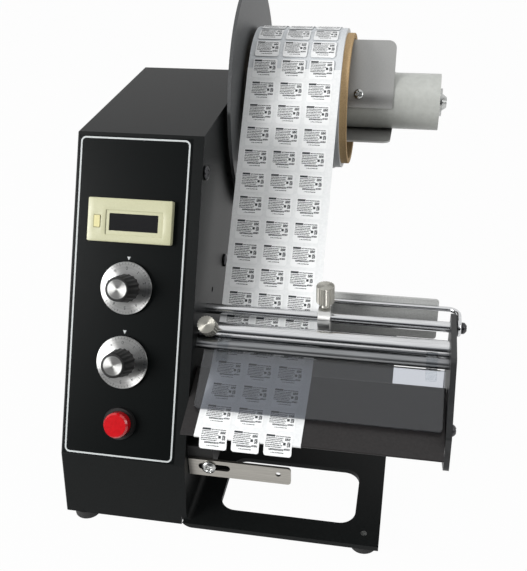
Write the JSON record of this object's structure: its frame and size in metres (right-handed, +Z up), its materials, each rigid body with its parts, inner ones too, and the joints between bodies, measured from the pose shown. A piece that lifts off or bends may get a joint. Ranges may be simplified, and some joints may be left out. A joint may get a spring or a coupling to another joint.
{
  "type": "label peeling machine",
  "caption": "Bench top label peeler: sloped control box, label roll on a winged spindle, guide rods, peeling deck with a clear cover and a motor driven liner roller",
  "frame": {"origin": "on the bench under the middle of the machine's bounding box", "axes": "+X from the control box towards the end arm, +Y from the peeling edge to the back, +Z up"},
  "size_m": [0.2196, 0.2814, 0.2611],
  "materials": {
    "housing_paint": "fine texture powder coat, dark grey",
    "panel_film": "satin printed film",
    "bezel_plastic": "smooth cream plastic",
    "window": "clear window over a grey display",
    "black_plastic": "moulded black plastic",
    "grey_plastic": "turned light grey plastic",
    "red_plastic": "glossy red button",
    "rubber_black": "soft black rubber",
    "zinc_steel": "zinc plated steel",
    "chromed_steel": "polished chrome",
    "stainless": "brushed stainless sheet",
    "aluminium": "turned aluminium",
    "black_metal": "satin black paint",
    "deck_paint": "brown black paint",
    "acrylic": "clear acrylic sheet",
    "paper_white": "label stock",
    "kraft": "wound cardboard",
    "board_green": "circuit board",
    "brass": "sintered bushing",
    "grey_sheet": "plain grey sheet"
  },
  "bodies": {
    "housing": {"main_plate": "housing_paint", "control_cover": "housing_paint", "bottom_cover": "zinc_steel", "panel_overlay": "panel_film", "counter_case": "bezel_plastic", "counter_window": "window", "rubber_feet": "rubber_black", "foot_screws": "zinc_steel", "side_screws": "zinc_steel", "hex_nuts": "zinc_steel", "top_guide_rod": "stainless", "cover_hinge_rod": "stainless", "peel_deck": "deck_paint", "deck_screw": "zinc_steel", "end_arm": "black_metal", "arm_screws": "black_metal", "web_support_wire": "chromed_steel", "web_support_plate": "grey_sheet", "sensor_block": "black_plastic", "sensor_clamp_screw": "zinc_steel", "label_web": "paper_white", "spindle": "stainless", "spindle_screw": "black_metal", "spindle_end_cap": "zinc_steel", "roller_bushes": "brass", "motor_plate": "zinc_steel", "standoffs": "aluminium", "drive_motor": "stainless", "drive_belt": "rubber_black", "power_supply": "aluminium", "control_board": "board_green", "panel_pots": "zinc_steel", "power_switch_body": "black_plastic", "power_inlet": "black_plastic"},
    "length_control": {"length_dial": "aluminium", "length_knob": "black_plastic", "length_knob_cap": "aluminium"},
    "speed_control": {"speed_dial": "aluminium", "speed_knob": "black_plastic", "speed_knob_cap": "aluminium"},
    "power_key": {"power_button": "red_plastic"},
    "reset_key": {"reset_button": "black_plastic"},
    "roll": {"holder_tube": "grey_plastic", "holder_disc": "black_metal", "holder_wings": "grey_sheet", "wing_screws": "zinc_steel", "roll_core": "kraft", "label_roll": "paper_white"},
    "drive_roller": {"drive_roller_shaft": "stainless", "drive_roller_rubber": "rubber_black", "roller_pulley": "aluminium"},
    "pinch": {"pinch_roller": "stainless"},
    "motor_drive": {"motor_pulley": "aluminium"},
    "bar": {"hold_down_bar": "chromed_steel"},
    "bar_thumb": {"bar_thumb_screw": "aluminium"},
    "collar": {"guide_collar": "aluminium"},
    "collar_thumb": {"collar_thumb_screw": "aluminium"},
    "clear_cover": {"acrylic_cover": "acrylic", "cover_clips": "acrylic"},
    "sensor": {"sensor_arm": "stainless"}
  },
  "joints": [
    {"name": "length_turn", "type": "hinge", "parent": "housing", "child": "length_control", "pos_m": [-0.07615, -0.0871, 0.12772], "axis": [0, -0.8783, 0.4781], "range_deg": [-150, 150]},
    {"name": "speed_turn", "type": "hinge", "parent": "housing", "child": "speed_control", "pos_m": [-0.07615, -0.10675, 0.09162], "axis": [0, -0.8783, 0.4781], "range_deg": [-150, 150]},
    {"name": "power_press", "type": "slide", "parent": "housing", "child": "power_key", "axis": [0, 0.8783, -0.4781], "range_m": [0, 0.003], "stiffness_N_per_m": 300},
    {"name": "reset_press", "type": "slide", "parent": "housing", "child": "reset_key", "axis": [0, 0.8783, -0.4781], "range_m": [0, 0.0008], "stiffness_N_per_m": 200},
    {"name": "roll_spin", "type": "hinge", "parent": "housing", "child": "roll", "pos_m": [0.01945, 0.0672, 0.1876], "axis": [1, 0, 0], "continuous": true},
    {"name": "drive_turn", "type": "hinge", "parent": "housing", "child": "drive_roller", "pos_m": [0.01945, -0.093, 0.06], "axis": [1, 0, 0], "continuous": true},
    {"name": "pinch_turn", "type": "hinge", "parent": "housing", "child": "pinch", "pos_m": [0.01945, -0.07407, 0.05493], "axis": [1, 0, 0], "continuous": true},
    {"name": "motor_turn", "type": "hinge", "parent": "housing", "child": "motor_drive", "pos_m": [-0.05055, -0.028, 0.055], "axis": [1, 0, 0], "continuous": true},
    {"name": "bar_turn", "type": "hinge", "parent": "housing", "child": "bar", "pos_m": [0.03145, -0.0818, 0.1007], "axis": [-1, 0, 0], "range_deg": [0, 35]},
    {"name": "bar_screw_turn", "type": "hinge", "parent": "bar", "child": "bar_thumb", "pos_m": [-0.03105, -0.0818, 0.1007], "axis": [0, -0.7071, 0.7071], "continuous": true},
    {"name": "collar_slide", "type": "slide", "parent": "housing", "child": "collar", "axis": [1, 0, 0], "range_m": [0, 0.062]},
    {"name": "collar_screw_turn", "type": "hinge", "parent": "collar", "child": "collar_thumb", "pos_m": [0.03122, -0.0664, 0.1051], "axis": [0, 0, 1], "continuous": true},
    {"name": "cover_lift", "type": "hinge", "parent": "housing", "child": "clear_cover", "pos_m": [0.03145, -0.09, 0.0971], "axis": [-1, 0, 0], "range_deg": [0, 60]},
    {"name": "sensor_slide", "type": "slide", "parent": "housing", "child": "sensor", "axis": [1, 0, 0], "range_m": [0, 0.0038]}
  ],
  "couplings": [
    {"joint": "pinch_turn", "follows": "drive_turn", "ratio": -1.7143},
    {"joint": "motor_turn", "follows": "drive_turn", "ratio": 1.5405}
  ]
}
